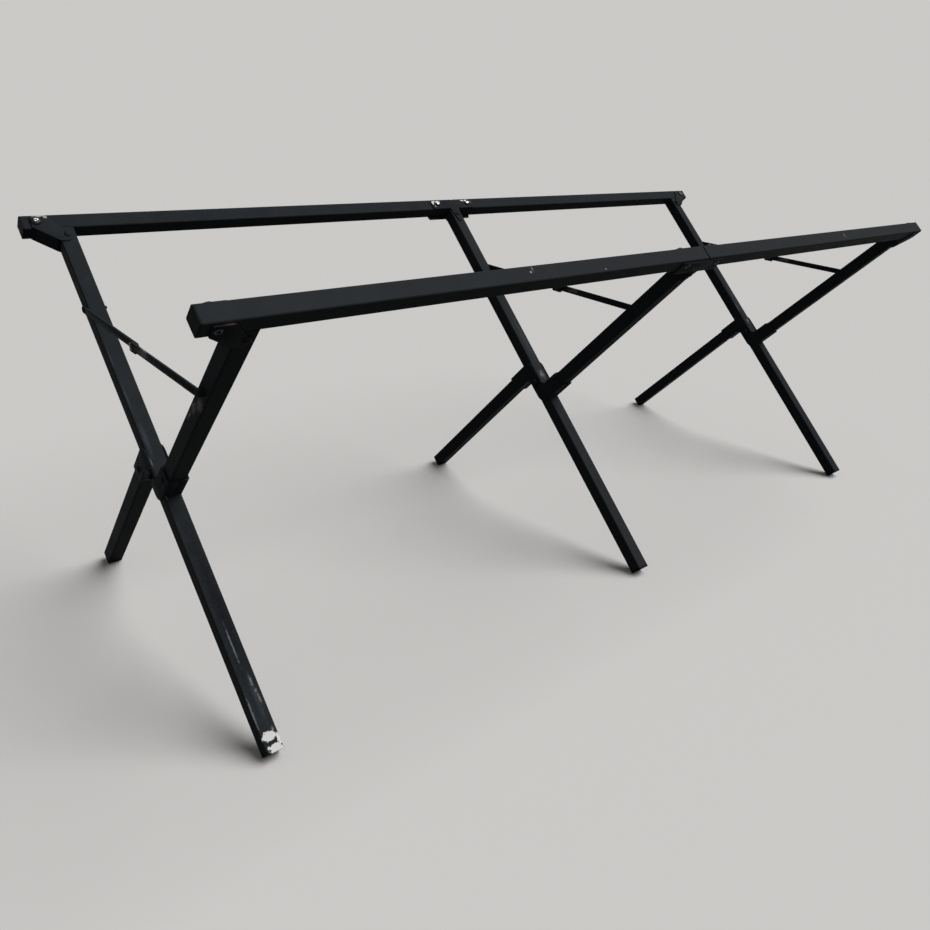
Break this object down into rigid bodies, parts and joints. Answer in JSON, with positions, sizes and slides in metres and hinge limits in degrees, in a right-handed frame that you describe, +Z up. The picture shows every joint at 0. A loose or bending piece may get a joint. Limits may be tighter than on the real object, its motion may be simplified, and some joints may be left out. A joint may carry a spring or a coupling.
{
  "type": "folding trestle table frame",
  "caption": "Black steel frame of a folding trestle table: long rails on crossed square-tube legs that scissor shut on pivot bolts, held open by folding stays.",
  "frame": {"origin": "on the floor, below the middle of the table", "axes": "+X along the rails, +Y to the rear rail, +Z up"},
  "size_m": [1.675, 0.6624, 0.6177],
  "materials": {
    "tube_paint": "black powder coat, half gloss, scuffed",
    "bracket_paint": "black paint, half gloss, chipped at the edges",
    "stay_paint": "black paint, worn beside the knee",
    "zinc_steel": "dull zinc plate with traces of black paint",
    "bare_steel": "turned steel",
    "black_plastic": "moulded black plastic"
  },
  "bodies": {
    "rear_frame": {"rear_rail_left": "tube_paint", "rear_rail_right": "tube_paint", "rear_leg_left": "tube_paint", "rear_leg_middle": "tube_paint", "rear_leg_right": "tube_paint", "rear_end_bracket_left": "bracket_paint", "rear_end_bracket_right": "bracket_paint", "rear_middle_plate_upper": "bracket_paint", "rear_middle_plate_lower": "bracket_paint", "rear_bracket_bolts": "zinc_steel", "rear_bracket_nuts": "zinc_steel", "rear_leg_rivets": "zinc_steel", "rear_rail_plugs": "black_plastic", "rear_foot_left": "black_plastic", "rear_foot_middle": "black_plastic", "rear_foot_right": "black_plastic", "hub_bushes": "bare_steel", "rear_stay_pins": "zinc_steel"},
    "front_frame": {"front_rail_left": "tube_paint", "front_rail_right": "tube_paint", "front_upper_leg_left": "tube_paint", "front_upper_leg_middle": "tube_paint", "front_upper_leg_right": "tube_paint", "front_lower_leg_left": "tube_paint", "front_lower_leg_middle": "tube_paint", "front_lower_leg_right": "tube_paint", "front_end_bracket_left": "bracket_paint", "front_end_bracket_right": "bracket_paint", "front_middle_plate_upper": "bracket_paint", "front_middle_plate_lower": "bracket_paint", "front_bracket_bolts": "zinc_steel", "front_bracket_nuts": "zinc_steel", "front_leg_rivets": "zinc_steel", "front_rail_plugs": "black_plastic", "front_foot_left": "black_plastic", "front_foot_middle": "black_plastic", "front_foot_right": "black_plastic", "hub_left_outer": "bracket_paint", "hub_left_inner": "bracket_paint", "hub_middle_outer": "bracket_paint", "hub_middle_inner": "bracket_paint", "hub_right_outer": "bracket_paint", "hub_right_inner": "bracket_paint", "hub_bolts": "zinc_steel", "hub_nuts": "zinc_steel", "hub_rivets": "zinc_steel", "front_stay_pins": "zinc_steel"},
    "stay_rear_left": {"stay_rear_arm_left": "stay_paint", "knee_tail_left": "zinc_steel"},
    "stay_front_left": {"stay_front_arm_left": "stay_paint", "knee_rivet_left": "zinc_steel"},
    "stay_rear_middle": {"stay_rear_arm_middle": "stay_paint", "knee_tail_middle": "zinc_steel"},
    "stay_front_middle": {"stay_front_arm_middle": "stay_paint", "knee_rivet_middle": "zinc_steel"},
    "stay_rear_right": {"stay_rear_arm_right": "stay_paint", "knee_tail_right": "zinc_steel"},
    "stay_front_right": {"stay_front_arm_right": "stay_paint", "knee_rivet_right": "zinc_steel"}
  },
  "joints": [
    {"name": "fold", "type": "hinge", "parent": "rear_frame", "child": "front_frame", "pos_m": [0, 0, 0.3005], "axis": [-1, 0, 0], "range_deg": [0, 87]},
    {"name": "stay_rear_left_swing", "type": "hinge", "parent": "rear_frame", "child": "stay_rear_left", "pos_m": [-0.7941, 0.20349, 0.49428], "axis": [1, 0, 0], "range_deg": [0, 39.2]},
    {"name": "stay_front_left_swing", "type": "hinge", "parent": "front_frame", "child": "stay_front_left", "pos_m": [-0.7974, -0.2113, 0.48792], "axis": [-1, 0, 0], "range_deg": [0, 43.2]},
    {"name": "stay_rear_middle_swing", "type": "hinge", "parent": "rear_frame", "child": "stay_rear_middle", "pos_m": [0.0151, 0.20349, 0.49428], "axis": [1, 0, 0], "range_deg": [0, 39.2]},
    {"name": "stay_front_middle_swing", "type": "hinge", "parent": "front_frame", "child": "stay_front_middle", "pos_m": [0.0184, -0.2113, 0.48792], "axis": [-1, 0, 0], "range_deg": [0, 43.2]},
    {"name": "stay_rear_right_swing", "type": "hinge", "parent": "rear_frame", "child": "stay_rear_right", "pos_m": [0.7941, 0.20349, 0.49428], "axis": [1, 0, 0], "range_deg": [0, 39.2]},
    {"name": "stay_front_right_swing", "type": "hinge", "parent": "front_frame", "child": "stay_front_right", "pos_m": [0.7974, -0.2113, 0.48792], "axis": [-1, 0, 0], "range_deg": [0, 43.2]}
  ],
  "couplings": [
    {"joint": "stay_rear_left_swing", "follows": "fold", "ratio": 0.45023},
    {"joint": "stay_front_left_swing", "follows": "fold", "ratio": 0.49637},
    {"joint": "stay_rear_middle_swing", "follows": "fold", "ratio": 0.45023},
    {"joint": "stay_front_middle_swing", "follows": "fold", "ratio": 0.49637},
    {"joint": "stay_rear_right_swing", "follows": "fold", "ratio": 0.45023},
    {"joint": "stay_front_right_swing", "follows": "fold", "ratio": 0.49637}
  ]
}
